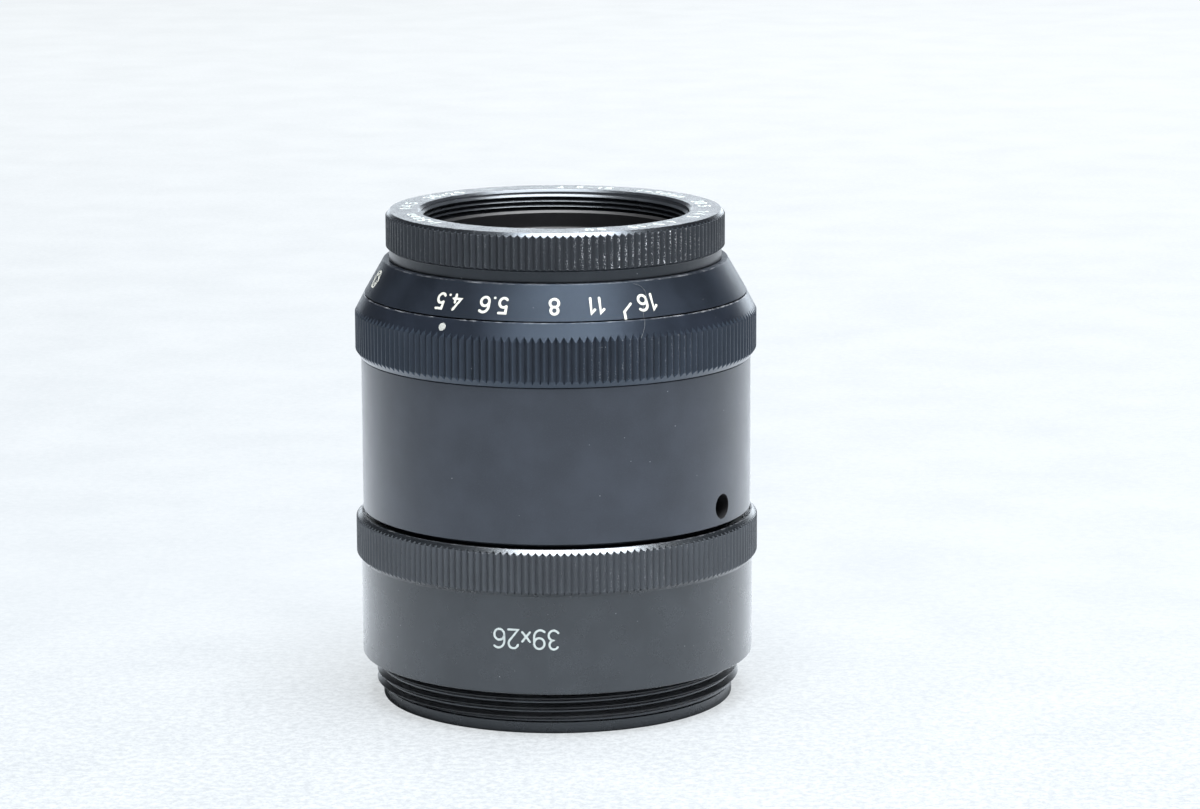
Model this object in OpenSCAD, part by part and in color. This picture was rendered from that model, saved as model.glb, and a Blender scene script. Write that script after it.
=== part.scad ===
// Enlarging lens, 50 mm f/4.5, screwed into a short extension tube.
// Millimetres. +Z runs along the optical axis to the front of the lens, and z = 0 is
// the rear end of the tube, on which the lens stands. Azimuths start at -Y and grow towards +X.

/* [Mount thread] */
// Crest radius of the enlarger thread, 39 mm across
mount_r = 19.5; // [19.4:0.05:19.55]
// Turns of the enlarger thread per inch
mount_tpi = 26; // [25:1:28]

/* [Extension tube] */
// Radius of the plain pilot in front of the thread
pilot_r = 18.8; // [18.6:0.05:18.85]
// Length of the pilot
pilot_h = 1.2; // [1:0.05:1.3]
// Height of the flange shoulder
shoulder_z = 4.7; // [4.65:0.05:4.8]
// Radius of the plain part of the tube
tube_r = 21; // [20.9:0.05:21.1]
// Radius over the knurled band of the tube
tube_knurl_r = 21.53; // [21.45:0.01:21.6]
// Height of the foot of the knurled band's lower chamfer
tube_knurl_z = 15.1; // [14.5:0.1:15.2]
// Height of the top face of the tube
tube_top_z = 20.1; // [20:0.05:20.2]
// Radius of the light path through the tube
tube_bore_r = 17.4; // [17:0.1:17.5]
// Teeth around the tube's knurled band
tube_teeth = 180; // [120:4:200]

/* [Barrel] */
// Outer radius of the head's barrel
barrel_r = 20.78; // [20.7:0.01:20.85]
// Height of the barrel's lower edge
barrel_z = 20.58; // [20.4:0.01:20.6]
// Height of the barrel's top face
barrel_top_z = 36.96; // [36.9:0.01:37]
// Radius of the spanner hole in the barrel
spanner_r = 1.25; // [1:0.05:1.4]
// Azimuth of the spanner hole
spanner_a = 56.65; // [40:0.05:70]
// Height of the spanner hole
spanner_z = 22.52; // [22.4:0.02:24]

/* [Aperture ring] */
// Radius over the knurling of the aperture ring
ring_r = 21.39; // [21.2:0.01:21.5]
// Teeth around the aperture ring
ring_teeth = 164; // [120:4:180]
// Turn of the ring from the widest to the smallest aperture
ring_travel = 54.6; // [50:0.1:55]
// Radial running clearance of every moving fit
run_gap = 0.04; // [0.03:0.01:0.05]

/* [Scale cone and front ring] */
// Radius of the foot of the scale cone
cone_foot_r = 20.37; // [20.3:0.01:20.4]
// Radius of the top of the scale cone
cone_top_r = 18.31; // [18.2:0.01:18.4]
// Height of the joint between aperture ring and scale cone
cone_z = 43.7; // [43.68:0.01:43.72]
// Height of the top of the scale cone
cone_top_z = 47.3; // [47.2:0.01:47.34]
// Radius of the smooth neck under the front ring
neck_r = 17.67; // [17.6:0.01:17.68]
// Radius over the knurling of the front ring
front_r = 18.02; // [18.02:0.01:18.1]
// Teeth around the front ring
front_teeth = 144; // [100:4:160]
// Height of the front face
face_z = 52.51; // [52.4:0.01:52.6]
// Radius of the front opening, inside the crests of its thread
opening_r = 13.955; // [13.9:0.005:14]
// Pitch of the front thread
front_pitch = 0.55; // [0.5:0.05:0.6]

/* [Iris] */
// Focal length of the lens
focal = 50; // [49:0.5:50]
// Largest aperture, as an f-number
f_open = 4.5; // [4.5:0.1:4.8]
// Smallest aperture, as an f-number
f_shut = 16; // [14:1:16]
// Radius of the circle of blade pivots
pivot_r = 11; // [11:0.05:11.1]
// Thickness of a blade
blade_t = 0.07; // [0.05:0.01:0.08]

/* [Hidden] */
$fn = 180;
BLADES = 10;

satin_black = [0.13, 0.14, 0.15];
matte_black = [0.05, 0.05, 0.055];
blade_grey = [0.2, 0.2, 0.22];
coated_glass = [0.6, 0.66, 0.85, 0.5];

knurl_depth = 0.3;
knurl_crest = 0.06;                     // half-width of a tooth's flat crest, as a share of the pitch
fit_gap = 0.05;                         // radial gap between parts that are screwed together
slack = 1;                              // how far cutting shapes run past the material
mount_pitch = 25.4 / mount_tpi;
thread_depth = 0.6;
thread_flat = 0.12;
mount_thread_z = 1.5;

// Head: thread that screws into the tube, and the shelf that carries the optical block
joint_r = 19.2;
seat_r = 20.28;
head_thread_z = 16.55;
head_rear_z = 16.2;
socket_z = 15.8;
spanner_depth = 2;
shelf_z = 24;
shelf_top_z = 25;
head_bore_r = 17.5;
block_r = 18.6;

// Optical block
bearing_r = 18;
tail_r = 15.6;
tail_z = 22;
block_top_r = 17;
block_top_z = 47.38;
chamber_r = 15;
chamber_z = 37;
rear_bore_r = 12.6;
front_seat_r = 16.05;
front_seat_z = 44.6;

// Cemented faces of the rear doublet
cement_ball = 20;
cement_z = 35.1;

// Iris stack, from the base ring up
base_top_z = 38;
blade_z = 38.05;
blade_step = 0.12;
cam_z = 39.3;
cam_top_z = 40.5;
cam_bore_r = 7;
retainer_top_z = 40.97;
pin_r = 0.3;
blade_out_r = 9.6;
blade_span = 124;
drive_arm = 5.2;
screw_z = (cam_z + cam_top_z) / 2;
screw_r = 0.8;
screw_head_r = 0.9;
screw_pin_r = 0.4;
screw_a = 90 - ring_travel / 2;         // polar angle of the drive screw at rest

open_r = focal / f_open / 2;
shut_r = focal / f_shut / 2;
blade_swing = 2 * asin((open_r - shut_r) / (2 * pivot_r));

// Click stop: a ball in the barrel's top face, under the aperture ring
click_r = 19.6;
click_a = 180;
ball_r = 0.6;
ball_z = 36.8;
click_hole_z = 32.5;
click_f = [4.5, 5.6, 8, 11, 16];

// Ring turn at which the iris reaches an f-number; the blades turn in a constant ratio to the ring
function turn_at(f) =
    ring_travel * 2 * asin(max(0, open_r - focal / f / 2) / (2 * pivot_r)) / blade_swing;

// Sphere radius of a surface that is s deep over a half-width a
function curve_r(a, s) = (a * a + s * s) / (2 * s);

// Profile points of n thread ridges, from z upwards
function ridges(z, n, pitch, root_r, crest_r, flat) =
    let (flank = (pitch - 2 * flat) / 2)
    [for (k = [0 : n - 1]) each [
        [root_r, z + k * pitch],
        [crest_r, z + k * pitch + flank],
        [crest_r, z + k * pitch + flank + flat],
        [root_r, z + k * pitch + 2 * flank + flat]]];

function reversed(list) = [for (i = [len(list) - 1 : -1 : 0]) list[i]];

function polar(r, a) = [r * cos(a), r * sin(a)];

// Outline of n straight knurl teeth with narrow flat crests
function knurl(n, r, depth) =
    [for (k = [0 : n - 1]) each [
        polar(r - depth, (k - 0.5) * 360 / n),
        polar(r, (k - knurl_crest) * 360 / n),
        polar(r, (k + knurl_crest) * 360 / n)]];

module turned(points) {
    rotate_extrude() polygon(points);
}

// A turned body whose outermost band is cut with straight knurling
module knurled(points, teeth, r, z, h) {
    intersection() {
        turned(points);
        translate([0, 0, z]) linear_extrude(h) polygon(knurl(teeth, r, knurl_depth));
    }
}

// A cylinder along a radius, from r1 to r2, at a polar angle and a height
module radial(a, z, r, r1, r2) {
    rotate([0, 0, a]) translate([r1, 0, z]) rotate([0, 90, 0]) cylinder(r = r, h = r2 - r1);
}

// Two opposite spanner slots across a ring's face
module spanner_slots(r1, r2, w, z1, z2) {
    for (side = [0, 180])
        rotate([0, 0, side]) translate([r1, -w / 2, z1]) cube([r2 - r1, w, z2 - z1]);
}

// Rear tube: pilot, enlarger thread, shoulder, knurled band, and a threaded socket for the head
module extension_tube() {
    root = mount_r - thread_depth;
    flank = (mount_pitch - 2 * thread_flat) / 2;
    socket_root = joint_r + fit_gap;
    socket_crest = socket_root - thread_depth;
    collar = 0.1;
    groove_pitch = 0.9;
    groove_depth = 0.35;
    profile = concat(
        [[tube_bore_r, 0], [pilot_r - 0.2, 0], [pilot_r, 0.2], [pilot_r, pilot_h], [root, pilot_h]],
        ridges(mount_thread_z, 3, mount_pitch, root, mount_r, thread_flat),
        [[root, shoulder_z - collar], [mount_r, shoulder_z - collar], [mount_r, shoulder_z],
         [tube_r - 0.25, shoulder_z], [tube_r, shoulder_z + 0.25], [tube_r, tube_knurl_z],
         [tube_knurl_r, tube_knurl_z + 0.65], [tube_knurl_r, tube_top_z - 0.58],
         [tube_r - 0.05, tube_top_z], [socket_root + 0.15, tube_top_z],
         [socket_root, tube_top_z - 0.15]],
        reversed(ridges(head_thread_z - flank - thread_flat, 4, mount_pitch,
            socket_root, socket_crest, thread_flat)),
        [[socket_root, socket_z], [tube_bore_r, socket_z]],
        reversed(ridges(1.6, 14, groove_pitch, tube_bore_r, tube_bore_r + groove_depth, 0.1)));
    color(satin_black)
        knurled(profile, tube_teeth, tube_knurl_r, -slack, tube_top_z + 2 * slack);
}

// Fixed outer barrel of the head, with its own rear thread and a blind spanner hole
module head_barrel() {
    root = joint_r - thread_depth;
    edge = 0.1;
    profile = concat(
        [[head_bore_r, head_rear_z], [root - 0.2, head_rear_z], [root, head_rear_z + 0.2]],
        ridges(head_thread_z, 3, mount_pitch, root, joint_r, thread_flat),
        [[root, tube_top_z], [seat_r, tube_top_z], [seat_r, barrel_z],
         [barrel_r - edge, barrel_z], [barrel_r, barrel_z + edge],
         [barrel_r, barrel_top_z - edge], [barrel_r - edge, barrel_top_z],
         [block_r, barrel_top_z], [block_r, shelf_top_z], [tail_r + 0.1, shelf_top_z],
         [tail_r + 0.1, shelf_z], [head_bore_r, shelf_z]]);
    color(satin_black)
        difference() {
            turned(profile);
            radial(spanner_a - 90, spanner_z, spanner_r, barrel_r - spanner_depth, barrel_r + slack);
            rotate([0, 0, click_a]) translate([click_r, 0, click_hole_z])
                cylinder(r = ball_r + run_gap, h = barrel_top_z - click_hole_z + slack, $fn = 48);
        }
}

// Inner barrel: bearing of the aperture ring, iris chamber, and seats of both lens cells
module lens_barrel() {
    step = 0.02;                        // set-back of a shoulder that must not touch the next part
    web_r = 11.5;
    web_z = chamber_z - 0.4;
    profile = [
        [rear_bore_r, tail_z], [tail_r, tail_z], [tail_r, shelf_top_z],
        [block_r - fit_gap, shelf_top_z], [block_r - fit_gap, barrel_top_z - 3 * step],
        [bearing_r, barrel_top_z - 3 * step], [bearing_r, cone_z - step], [block_top_r, cone_z - step],
        [block_top_r, block_top_z], [front_seat_r, block_top_z], [front_seat_r, front_seat_z],
        [chamber_r, front_seat_z], [chamber_r, chamber_z], [web_r, chamber_z],
        [web_r, web_z], [rear_bore_r, web_z]];
    slot_r = screw_r + fit_gap;
    color(matte_black)
        difference() {
            turned(profile);
            rotate([0, 0, screw_a]) rotate_extrude(angle = ring_travel)
                translate([chamber_r - slack, screw_z - slot_r])
                    square([bearing_r - chamber_r + 2 * slack, 2 * slot_r]);
            for (a = [screw_a, screw_a + ring_travel])
                radial(a, screw_z, slot_r, chamber_r - slack, bearing_r + slack);
        }
}

// Ring that clamps the inner barrel against the head's shelf from behind
module rear_lock_ring() {
    color(matte_black)
        difference() {
            turned([[tail_r + fit_gap, 22.3], [17, 22.3], [17.3, 22.6], [17.3, shelf_z],
                [tail_r + fit_gap, shelf_z]]);
            spanner_slots(tail_r - 1, 18, 1.6, 22, 23.1);
        }
}

// Fixed cone that carries the aperture scale
module scale_cone() {
    color(satin_black)
        turned([[block_top_r + 0.02, cone_z], [cone_foot_r, cone_z], [cone_top_r + 0.07, cone_top_z - 0.12],
            [cone_top_r - 0.05, cone_top_z], [block_top_r + 0.02, cone_top_z]]);
}

// Knurled front ring with a female thread for filters and caps
module front_ring() {
    groove = 0.295;
    flat = 0.08;
    flank = front_pitch / 2 - flat;
    turns = 3;
    land = 0.05;
    thread_z = 50.37;
    thread_top_z = thread_z + turns * front_pitch;
    mouth_r = opening_r + 0.6;
    mouth_depth = 0.25;
    profile = concat(
        [[opening_r + 0.35, 45.44], [front_seat_r - fit_gap, 45.44], [front_seat_r - fit_gap, 47.4],
         [neck_r, 47.4], [neck_r, 48.45], [front_r, 48.75], [front_r, face_z - 0.52],
         [front_r - 0.42, face_z], [mouth_r, face_z], [opening_r + groove, face_z - mouth_depth],
         [opening_r + groove, thread_top_z + flank], [opening_r, thread_top_z]],
        reversed(ridges(thread_z, turns, front_pitch, opening_r, opening_r + groove, flat)),
        [[opening_r, thread_z - land], [opening_r + 0.35, thread_z - land]]);
    color(satin_black)
        knurled(profile, front_teeth, front_r, cone_z, face_z - cone_z + slack);
}

// Knurled aperture ring that turns on the inner barrel between the head's barrel and the cone
module aperture_ring() {
    track_r = ball_r + 0.06;
    foot = barrel_top_z + run_gap;
    head = cone_z - 0.06;
    bore = bearing_r + run_gap;
    profile = [[bore, foot], [ring_r - 0.54, foot], [ring_r, foot + 0.8], [ring_r, 41.75],
        [cone_foot_r + 0.03, head], [bore, head]];
    color(satin_black)
        difference() {
            knurled(profile, ring_teeth, ring_r, foot - slack, head - foot + 2 * slack);
            radial(screw_a, screw_z, screw_head_r + 0.03, bearing_r - slack, ring_r + slack);
            rotate([0, 0, click_a - ring_travel]) rotate_extrude(angle = ring_travel)
                translate([click_r, ball_z]) circle(r = track_r, $fn = 48);
            for (f = click_f)
                rotate([0, 0, click_a - turn_at(f)]) translate([click_r, 0, ball_z + 0.12])
                    sphere(r = track_r + 0.01, $fn = 48);
        }
}

// Slotted screw that carries the turn of the aperture ring through the inner barrel to the cam ring
module drive_screw() {
    color([0.35, 0.34, 0.33])
        difference() {
            union() {
                radial(screw_a, screw_z, screw_pin_r, 13.3, 15.3);
                radial(screw_a, screw_z, screw_r, 15.15, 18.2);
                radial(screw_a, screw_z, screw_head_r, 18.1, 20.6);
            }
            rotate([0, 0, screw_a]) translate([20.1, -0.15, screw_z - 1]) cube([1, 0.3, 2]);
        }
}

// Ball of the click stop
module click_ball() {
    color([0.75, 0.75, 0.77])
        rotate([0, 0, click_a]) translate([click_r, 0, ball_z]) sphere(r = ball_r, $fn = 48);
}

// Small compression spring under the click ball
module click_spring() {
    coils = 5;
    steps = 12;
    sides = 6;
    wire = 0.09;
    coil_r = 0.45;
    low = click_hole_z + wire + 0.02;
    rise = ball_z - click_hole_z - ball_r - 2 * wire - 0.04;
    rings = coils * steps;
    points = [for (i = [0 : rings], s = [0 : sides - 1])
        let (a = i * 360 / steps, b = s * 360 / sides)
        [(coil_r + wire * cos(b)) * cos(a), (coil_r + wire * cos(b)) * sin(a),
         low + rise * i / rings + wire * sin(b)]];
    walls = [for (i = [0 : rings - 1], s = [0 : sides - 1])
        let (t = (s + 1) % sides)
        [i * sides + s, i * sides + t, (i + 1) * sides + t, (i + 1) * sides + s]];
    caps = [[for (s = [sides - 1 : -1 : 0]) s], [for (s = [0 : sides - 1]) rings * sides + s]];
    color([0.7, 0.7, 0.72])
        rotate([0, 0, click_a]) translate([click_r, 0, 0])
            polyhedron(points, concat(walls, caps));
}

// Fixed ring with the ten pivot holes of the blades
module iris_base_ring() {
    color(matte_black)
        difference() {
            turned([[5.75, chamber_z + 0.5], [6.25, chamber_z], [chamber_r - fit_gap, chamber_z],
                [chamber_r - fit_gap, base_top_z], [5.75, base_top_z]]);
            for (i = [1 : BLADES])
                rotate([0, 0, i * 360 / BLADES]) translate([pivot_r, 0, chamber_z - 1])
                    cylinder(r = pin_r + run_gap, h = 3, $fn = 48);
        }
}

// Flat outline of a blade that pivots on the +X side: a crescent, and an arm to the drive pin
module blade_outline() {
    difference() {
        intersection() {
            circle(r = blade_out_r);
            polygon(concat([[0, 0]],
                [for (k = [0 : 4]) polar(2 * blade_out_r, 2 - k * (blade_span + 2) / 4)]));
        }
        circle(r = open_r);
    }
    polygon([polar(blade_out_r - 0.4, 2), [pivot_r, 0.75], [pivot_r + 0.75, 0],
        [pivot_r + 0.75, -drive_arm], [pivot_r - 0.75, -drive_arm], polar(blade_out_r - 0.4, -28)]);
    for (y = [0, -drive_arm])
        translate([pivot_r, y]) circle(r = 0.75, $fn = 48);
}

// Blade number i in its own layer, with a pivot pin below and a drive pin above
module iris_blade(i) {
    z = blade_z + (i - 1) * blade_step;
    color(blade_grey)
        rotate([0, 0, i * 360 / BLADES]) {
            translate([0, 0, z]) linear_extrude(blade_t) blade_outline();
            translate([pivot_r, 0, chamber_z + 0.2])
                cylinder(r = pin_r, h = z + blade_t / 2 - chamber_z - 0.2, $fn = 48);
            translate([pivot_r, -drive_arm, z + blade_t / 2])
                cylinder(r = pin_r, h = cam_top_z - 0.05 - z - blade_t / 2, $fn = 48);
        }
}

// Where a blade's drive pin lies on the cam ring when the ring has turned by the share t of its travel
function cam_point(t) =
    let (a = -blade_swing * t,
         x = pivot_r + drive_arm * sin(a),
         y = -drive_arm * cos(a),
         b = -ring_travel * t)
    [x * cos(b) - y * sin(b), x * sin(b) + y * cos(b)];

// Direction of the cam path at t
function cam_heading(t) =
    let (d = cam_point(t + 0.001) - cam_point(t - 0.001))
    atan2(d.y, d.x);

// Outline of a cam slot of half-width w: along one side, round the far end, back, and round the near end
function cam_slot(w, steps, end_steps) = concat(
    [for (k = [0 : steps]) cam_point(k / steps) + polar(w, cam_heading(k / steps) + 90)],
    [for (k = [1 : end_steps - 1]) cam_point(1) + polar(w, cam_heading(1) + 90 - k * 180 / end_steps)],
    [for (k = [steps : -1 : 0]) cam_point(k / steps) + polar(w, cam_heading(k / steps) - 90)],
    [for (k = [1 : end_steps - 1]) cam_point(0) + polar(w, cam_heading(0) - 90 - k * 180 / end_steps)]);

// Ring inside the chamber whose spiral slots swing all blades by the same amount
module iris_cam_ring() {
    color(matte_black)
        difference() {
            turned([[cam_bore_r, cam_z], [chamber_r - run_gap, cam_z],
                [chamber_r - run_gap, cam_top_z], [cam_bore_r, cam_top_z]]);
            for (i = [1 : BLADES])
                rotate([0, 0, i * 360 / BLADES]) translate([0, 0, cam_z - 1])
                    linear_extrude(4) polygon(cam_slot(pin_r + run_gap, 18, 8));
            radial(screw_a, screw_z, screw_pin_r + 0.02, 13.2, chamber_r + slack);
        }
}

// Ring that keeps the iris stack in its chamber
module iris_retainer() {
    color(matte_black)
        difference() {
            turned([[cam_bore_r, cam_top_z + fit_gap], [chamber_r - fit_gap, cam_top_z + fit_gap],
                [chamber_r - fit_gap, retainer_top_z], [cam_bore_r, retainer_top_z]]);
            spanner_slots(12.5, 16, 1.2, cam_top_z, 42);
        }
}

// Cell of the two front elements, with a flared hood in front of the glass
module front_cell() {
    rim_r = 13.75;
    rim_z = 50.25;
    wall = 0.4;
    profile = [
        [6.3, 41], [chamber_r - fit_gap, 41], [chamber_r - fit_gap, front_seat_z],
        [front_seat_r - fit_gap, front_seat_z], [front_seat_r - fit_gap, 45.4], [12.6, 45.4],
        [12.6, 47], [rim_r, 48.1], [rim_r, rim_z], [rim_r - wall, rim_z],
        [rim_r - wall, 48.4], [9.25, 47.25], [9.25, 45.8], [8.63, 45.8], [8.63, 44.06],
        [7.03, 44.06], [7.03, 41.2], [6.3, 41.2]];
    color(matte_black)
        turned(profile);
}

// Front element: convex to the front, flat behind
module front_element() {
    rim = 8.6;
    low = 44.5;
    top = 48;
    ball = 16;
    color(coated_glass)
        intersection() {
            translate([0, 0, low]) cylinder(r = rim, h = top - low + 1);
            translate([0, 0, top - ball]) sphere(r = ball);
        }
}

// Ring that holds the front element in its cell
module front_retaining_ring() {
    color(matte_black)
        difference() {
            turned([[8.1, 45.86], [9.2, 45.86], [9.2, 47.1], [8.5, 47.1], [8.1, 46.5]]);
            spanner_slots(8, 9.5, 1.1, 46.5, 48);
        }
}

// Spacer between the two front elements
module element_spacer() {
    color(matte_black)
        turned([[6.9, 44.07], [8.6, 44.07], [8.6, 44.49], [7.4, 44.49]]);
}

// Second element: hollow on both faces
module second_element() {
    low = 41.2;
    top = 44.05;
    front_ball = curve_r(6.6, 0.6);
    rear_ball = curve_r(6.4, 1.1);
    color(coated_glass)
        difference() {
            translate([0, 0, low]) cylinder(r = 7, h = top - low);
            translate([0, 0, top - 0.6 + front_ball]) sphere(r = front_ball);
            translate([0, 0, low + 1.1 - rear_ball]) sphere(r = rear_ball);
        }
}

// Cell of the rear doublet, screwed in from behind, with a flared mouth
module rear_cell() {
    color(matte_black)
        difference() {
            turned([[11.2, 29.4], [12.55, 29.4], [12.55, 36.55], [6.9, 36.55], [6.9, 36.25],
                [7.43, 36.25], [7.43, 32.95], [8.02, 32.95], [8.02, 31.6]]);
            spanner_slots(11, 13, 1.4, 29, 30.2);
        }
}

// Front half of the doublet, hollow behind
module third_element() {
    color(coated_glass)
        difference() {
            translate([0, 0, 33]) cylinder(r = 7.4, h = 3.2);
            translate([0, 0, cement_z - cement_ball]) sphere(r = cement_ball + 0.01);
        }
}

// Rear half of the doublet, nested in the other across a cement film
module fourth_element() {
    rear_ball = 22;
    color(coated_glass)
        intersection() {
            translate([0, 0, 31]) cylinder(r = 7.4, h = 5);
            translate([0, 0, cement_z - cement_ball]) sphere(r = cement_ball);
            translate([0, 0, cement_z - 3.2 + rear_ball]) sphere(r = rear_ball);
        }
}

// Ring that holds the doublet in the rear cell
module rear_retaining_ring() {
    color(matte_black)
        difference() {
            turned([[6.6, 32.84], [6.6, 32.3], [7, 31.7], [7.97, 31.7], [7.97, 32.84]]);
            spanner_slots(6.5, 8.2, 1, 31, 32.2);
        }
}

extension_tube();
head_barrel();
lens_barrel();
rear_lock_ring();
scale_cone();
front_ring();
aperture_ring();
drive_screw();
click_ball();
click_spring();
iris_base_ring();
iris_blade(1);  // iris_blade_01
iris_blade(2);  // iris_blade_02
iris_blade(3);  // iris_blade_03
iris_blade(4);  // iris_blade_04
iris_blade(5);  // iris_blade_05
iris_blade(6);  // iris_blade_06
iris_blade(7);  // iris_blade_07
iris_blade(8);  // iris_blade_08
iris_blade(9);  // iris_blade_09
iris_blade(10);  // iris_blade_10
iris_cam_ring();
iris_retainer();
front_cell();
front_element();
front_retaining_ring();
element_spacer();
second_element();
rear_cell();
third_element();
fourth_element();
rear_retaining_ring();
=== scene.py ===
import math
import random

import bmesh
import bpy
from mathutils import Matrix, Vector


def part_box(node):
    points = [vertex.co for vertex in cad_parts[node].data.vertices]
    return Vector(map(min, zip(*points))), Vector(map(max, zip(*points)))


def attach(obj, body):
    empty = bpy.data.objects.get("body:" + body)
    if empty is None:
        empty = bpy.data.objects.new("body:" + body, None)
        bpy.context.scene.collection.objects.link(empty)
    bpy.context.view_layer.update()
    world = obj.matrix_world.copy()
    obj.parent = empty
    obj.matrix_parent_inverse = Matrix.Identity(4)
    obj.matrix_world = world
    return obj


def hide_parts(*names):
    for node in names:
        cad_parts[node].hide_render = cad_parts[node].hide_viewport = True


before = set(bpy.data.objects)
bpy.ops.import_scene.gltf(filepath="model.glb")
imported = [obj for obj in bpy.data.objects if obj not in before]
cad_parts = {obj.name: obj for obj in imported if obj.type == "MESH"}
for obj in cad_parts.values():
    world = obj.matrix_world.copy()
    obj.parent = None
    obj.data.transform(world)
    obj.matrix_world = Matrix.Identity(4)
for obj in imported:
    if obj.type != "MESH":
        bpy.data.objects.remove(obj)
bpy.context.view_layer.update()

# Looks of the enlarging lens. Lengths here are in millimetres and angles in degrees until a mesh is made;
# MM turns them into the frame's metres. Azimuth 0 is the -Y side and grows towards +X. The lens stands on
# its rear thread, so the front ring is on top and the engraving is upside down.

MM = 0.001


# ---------------------------------------------------------------- sizes from the frame

def foot(node):
    """Lowest height of a CAD node."""
    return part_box(node)[0].z / MM


def top(node):
    """Highest point of a CAD node."""
    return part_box(node)[1].z / MM


def reach(node):
    """Outer radius of a CAD node."""
    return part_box(node)[1].x / MM


# Front ring
FACE_Z = top("front_ring") - 0.008
FRONT_R = reach("front_ring")
FRONT_CHAMFER = (0.42, 0.52)
FRONT_KNURL_Z = 48.75
NECK_R = 17.67
NECK_TOP_Z = 48.45
SPIGOT_R = 16.0
SPIGOT_Z = 45.44
OPENING_R = 13.955
MOUTH_DEPTH = 0.25
FRONT_GROOVE_R = OPENING_R + 0.295
FRONT_THREAD_Z = 50.32
FRONT_PITCH = 0.55
HOOD_Z = top("front_cell") + 0.05

# Scale cone and aperture ring
CONE_Z = foot("scale_cone")
CONE_TOP_Z = top("scale_cone")
CONE_FOOT_R = reach("scale_cone")
CONE_TOP_R = 18.31
RING_Z = foot("aperture_ring")
RING_TOP_Z = top("aperture_ring")
RING_R = reach("aperture_ring")
RING_CHAMFER_Z = RING_TOP_Z - 1.89
SEAM = 0.06

# Barrel, with its spanner hole
BARREL_R = reach("head_barrel")
BARREL_TOP_Z = top("head_barrel")
BARREL_Z = 20.58
HOLE_AZ = 56.65
HOLE_Z = 22.52
HOLE_R = 1.25

# Extension tube and its mount thread
TUBE_R = 21.0
TUBE_KNURL_R = reach("extension_tube")
TUBE_KNURL_Z = 15.75
TUBE_TOP_Z = top("extension_tube")
SHOULDER_Z = 4.7
MOUNT_R = 19.5
ROOT_R = 18.98
MOUNT_PITCH = 25.4 / 26
PILOT_R = 18.8
PILOT_H = 1.2
BAFFLES = 14

# Straight knurling: (teeth, crest radius, depth)
FRONT_KNURL = (144, FRONT_R, 0.26)
RING_KNURL = (164, RING_R, 0.31)
TUBE_KNURL = (180, TUBE_KNURL_R, 0.33)

# Engraving: how far its strokes stand out, and the aperture scale
STROKE_LIFT = 0.012
SCALE_FOOT_Z = 45.93
SCALE_TALL = 1.64
SCALE_STROKE = 0.27
INDEX_AZ = -34.0

# Radiances of the lights, and the floor: its glow as the camera sees it and its half width in metres
SOFT_BOX_RADIANCE = 23.9
FRONT_BOX_RADIANCE = 1.6
BACKDROP_RADIANCE = 3.8
FLOOR_GLOW_NEAR = 0.605
FLOOR_GLOW_FAR = 0.875
FLOOR_HALF = 1.4

# Colours shared by several materials and lights
DUST = (0.45, 0.46, 0.48)
BARE_METAL = (0.62, 0.63, 0.65)
LIGHT_COLOUR = (0.95, 0.975, 1.0)
ROOM = (0.065, 0.07, 0.08)
ROOM_SEEN = (0.93, 0.955, 0.965)


# ---------------------------------------------------------------- mesh helpers

def make_object(name, verts, faces, material, sharp=35):
    """A smooth-shaded mesh object, with edges sharper than the angle kept crisp. verts are in mm."""
    mesh = bpy.data.meshes.new(name)
    mesh.from_pydata([(x * MM, y * MM, z * MM) for x, y, z in verts], [], faces)
    shape = bmesh.new()
    shape.from_mesh(mesh)
    bmesh.ops.remove_doubles(shape, verts=shape.verts, dist=1e-8)
    bmesh.ops.recalc_face_normals(shape, faces=shape.faces)
    shape.to_mesh(mesh)
    shape.free()
    mesh.update()
    mesh.polygons.foreach_set("use_smooth", [True] * len(mesh.polygons))
    mesh.set_sharp_from_angle(angle=math.radians(sharp))
    mesh.materials.append(material)
    obj = bpy.data.objects.new(name, mesh)
    bpy.context.scene.collection.objects.link(obj)
    return obj


def rounded(corners, steps=5):
    """A closed outline of (r, z) points from (r, z, fillet radius) corners. A guard point on either side of
    a fillet keeps its soft shading off the flat beyond."""
    points = []
    count = len(corners)
    for i, (r, z, fillet) in enumerate(corners):
        here = Vector((r, z))
        before = Vector(corners[i - 1][:2]) - here
        after = Vector(corners[(i + 1) % count][:2]) - here
        if fillet <= 0:
            points.append((r, z))
            continue
        half = before.angle(after) / 2
        cut = min(fillet / math.tan(half), 0.45 * before.length, 0.45 * after.length)
        start = here + before.normalized() * cut
        end = here + after.normalized() * cut
        guard = cut + 0.03
        if guard < 0.45 * before.length:
            points.append(tuple(here + before.normalized() * guard))
        for k in range(steps + 1):
            t = k / steps
            p = start * (1 - t) ** 2 + here * 2 * t * (1 - t) + end * t * t
            points.append((p.x, p.y))
        if guard < 0.45 * after.length:
            points.append(tuple(here + after.normalized() * guard))
    return points


def clipped(outline, limit):
    """The outline with every point beyond the limit radius slid along its own chamfer to that radius."""
    count = len(outline)
    out = []
    for i, (r, z) in enumerate(outline):
        if r > limit:
            for k in range(1, count):
                way = next((w for w in (1, -1) if outline[(i + w * k) % count][0] <= limit), None)
                if way:
                    r1, z1 = outline[(i + way * k) % count]
                    r2, z2 = outline[(i + way * (k - 1)) % count]
                    r, z = limit, z1 + (z2 - z1) * (limit - r1) / (r2 - r1)
                    break
        out.append((r, z))
    return out


# One knurl tooth: share of the pitch from a root, share of the depth that is cut away there.
TOOTH = ((0.0, 1.0), (0.44, 0.03), (0.46, 0.0), (0.54, 0.0), (0.56, 0.03))


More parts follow.
